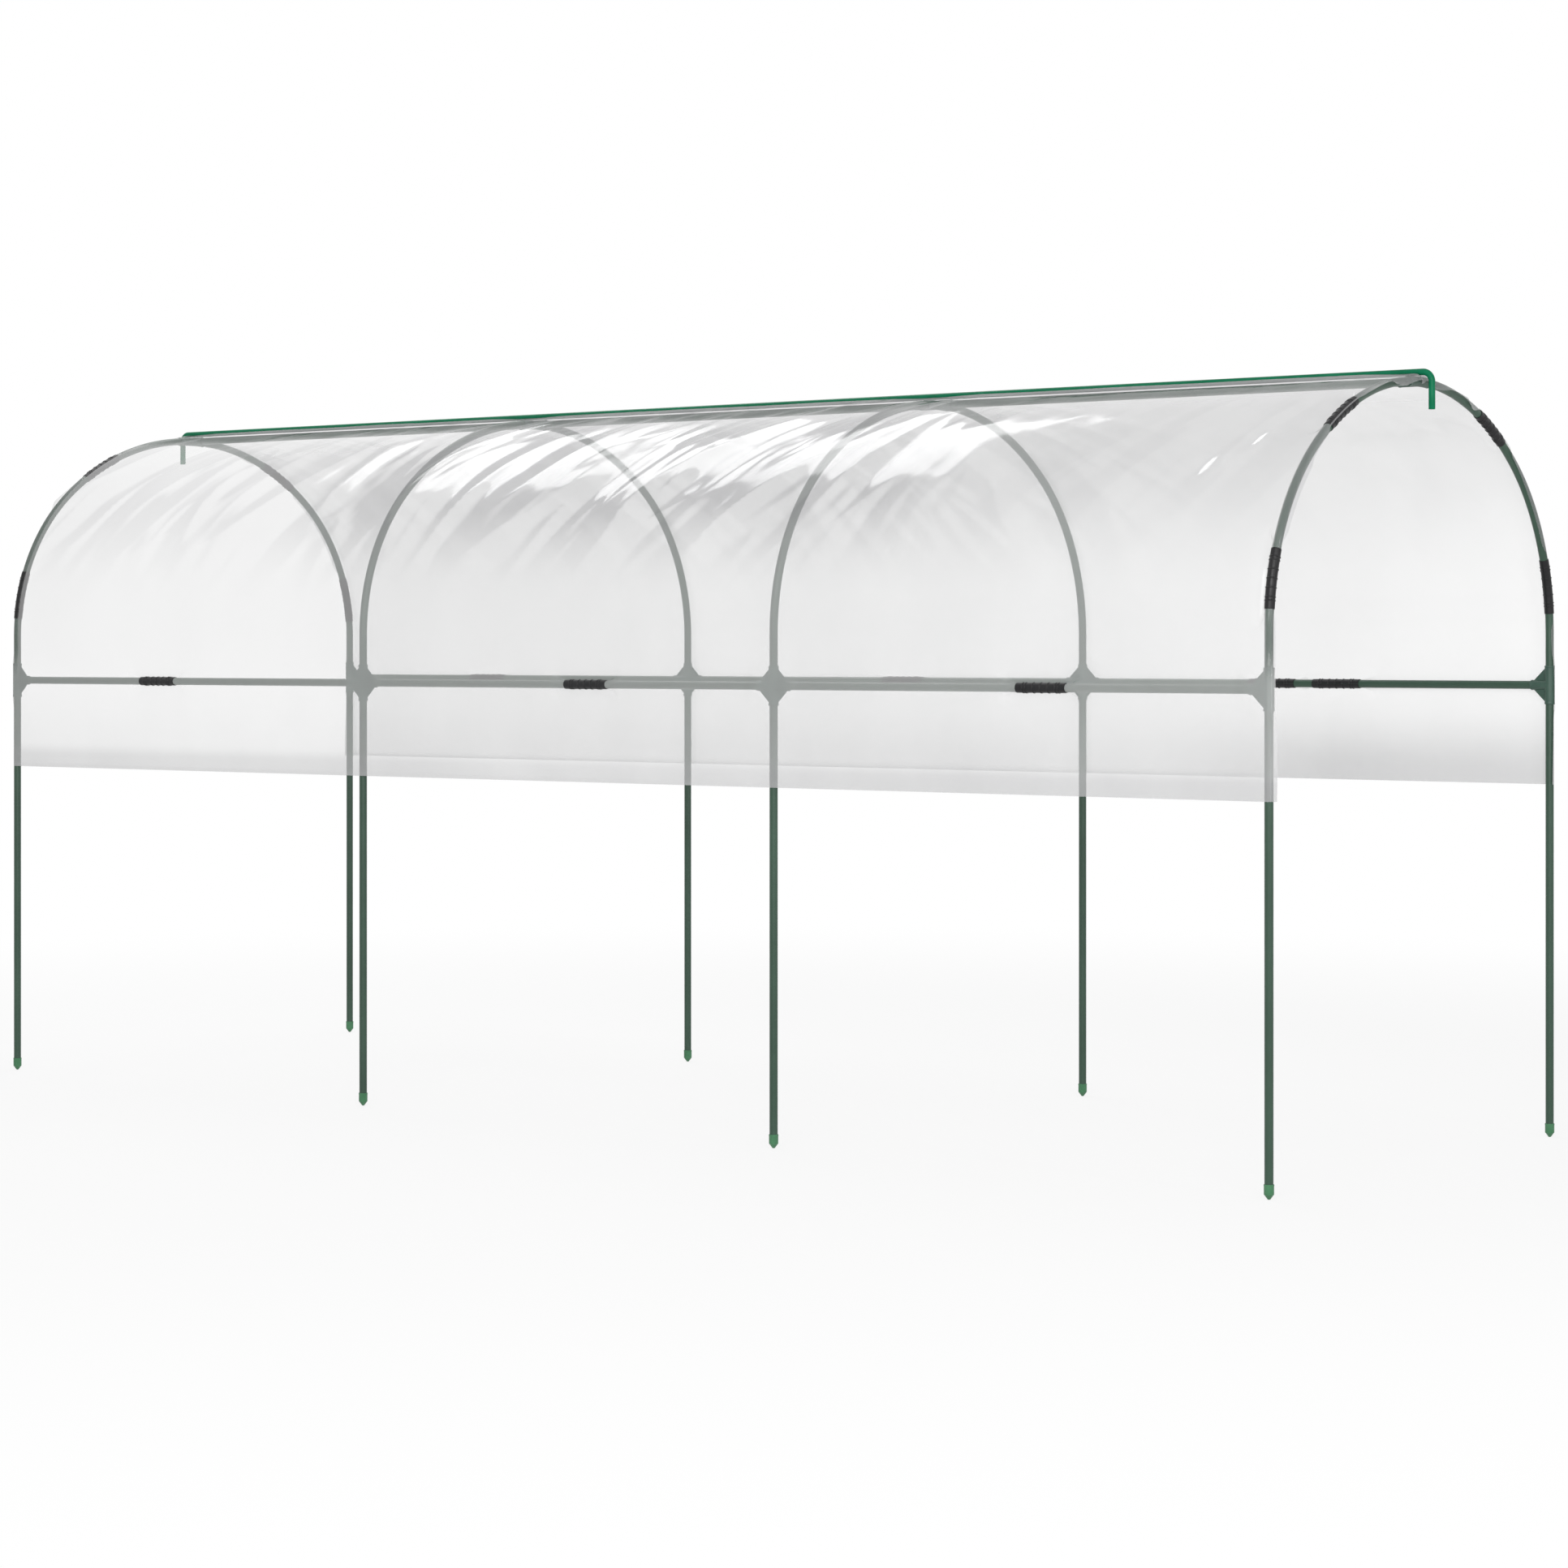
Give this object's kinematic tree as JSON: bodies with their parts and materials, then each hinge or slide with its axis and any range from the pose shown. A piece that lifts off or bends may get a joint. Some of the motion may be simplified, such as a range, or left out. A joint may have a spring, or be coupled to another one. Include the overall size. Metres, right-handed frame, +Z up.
{
  "type": "tomato greenhouse",
  "caption": "Tunnel of push-fit steel hoops on pointed legs, with side rails, a ridge and a film cover held by clips and a hooked rod, to shelter tomatoes.",
  "frame": {"origin": "centre of the footprint, at the level of the stake tips", "axes": "+X along the tunnel, +Y across it, +Z up"},
  "size_m": [3.788, 1.2524, 1.6634],
  "materials": {
    "coated_steel": "dark green plastic coat, satin",
    "connector_plastic": "dark green moulded plastic, satin",
    "cap_plastic": "lighter green moulded plastic",
    "clip_plastic": "black ribbed plastic, slightly glossy",
    "film": "translucent whitish film with folds",
    "rod_steel": "bright green plastic coat"
  },
  "bodies": {
    "frame": {"leg_a_front": "coated_steel", "leg_cap_a_front": "cap_plastic", "film_clip_a_front_low": "clip_plastic", "film_clip_a_front_high": "clip_plastic", "rail_connector_a_front": "connector_plastic", "leg_a_back": "coated_steel", "leg_cap_a_back": "cap_plastic", "film_clip_a_back_low": "clip_plastic", "film_clip_a_back_high": "clip_plastic", "rail_connector_a_back": "connector_plastic", "bow_tube_a": "coated_steel", "ridge_connector_a": "connector_plastic", "leg_b_front": "coated_steel", "leg_cap_b_front": "cap_plastic", "rail_connector_b_front": "connector_plastic", "leg_b_back": "coated_steel", "leg_cap_b_back": "cap_plastic", "rail_connector_b_back": "connector_plastic", "bow_tube_b": "coated_steel", "ridge_connector_b": "connector_plastic", "leg_c_front": "coated_steel", "leg_cap_c_front": "cap_plastic", "rail_connector_c_front": "connector_plastic", "leg_c_back": "coated_steel", "leg_cap_c_back": "cap_plastic", "rail_connector_c_back": "connector_plastic", "bow_tube_c": "coated_steel", "ridge_connector_c": "connector_plastic", "leg_d_front": "coated_steel", "leg_cap_d_front": "cap_plastic", "film_clip_d_front_low": "clip_plastic", "film_clip_d_front_high": "clip_plastic", "rail_connector_d_front": "connector_plastic", "leg_d_back": "coated_steel", "leg_cap_d_back": "cap_plastic", "film_clip_d_back_low": "clip_plastic", "film_clip_d_back_high": "clip_plastic", "rail_connector_d_back": "connector_plastic", "bow_tube_d": "coated_steel", "ridge_connector_d": "connector_plastic", "ridge_tube_ab": "coated_steel", "rail_tube_ab_front": "coated_steel", "film_clip_ab_front_1": "clip_plastic", "rail_tube_ab_back": "coated_steel", "film_clip_ab_back_1": "clip_plastic", "ridge_tube_bc": "coated_steel", "rail_tube_bc_front": "coated_steel", "film_clip_bc_front_1": "clip_plastic", "rail_tube_bc_back": "coated_steel", "film_clip_bc_back_1": "clip_plastic", "ridge_tube_cd": "coated_steel", "rail_tube_cd_front": "coated_steel", "film_clip_cd_front_1": "clip_plastic", "rail_tube_cd_back": "coated_steel", "film_clip_cd_back_1": "clip_plastic", "film_clip_cd_back_2": "clip_plastic", "film_cover": "film"},
    "rod": {"hold_down_rod": "rod_steel"}
  },
  "joints": [
    {"name": "rod_lift", "type": "slide", "parent": "frame", "child": "rod", "axis": [0, 0, 1], "range_m": [0, 0.12]}
  ]
}
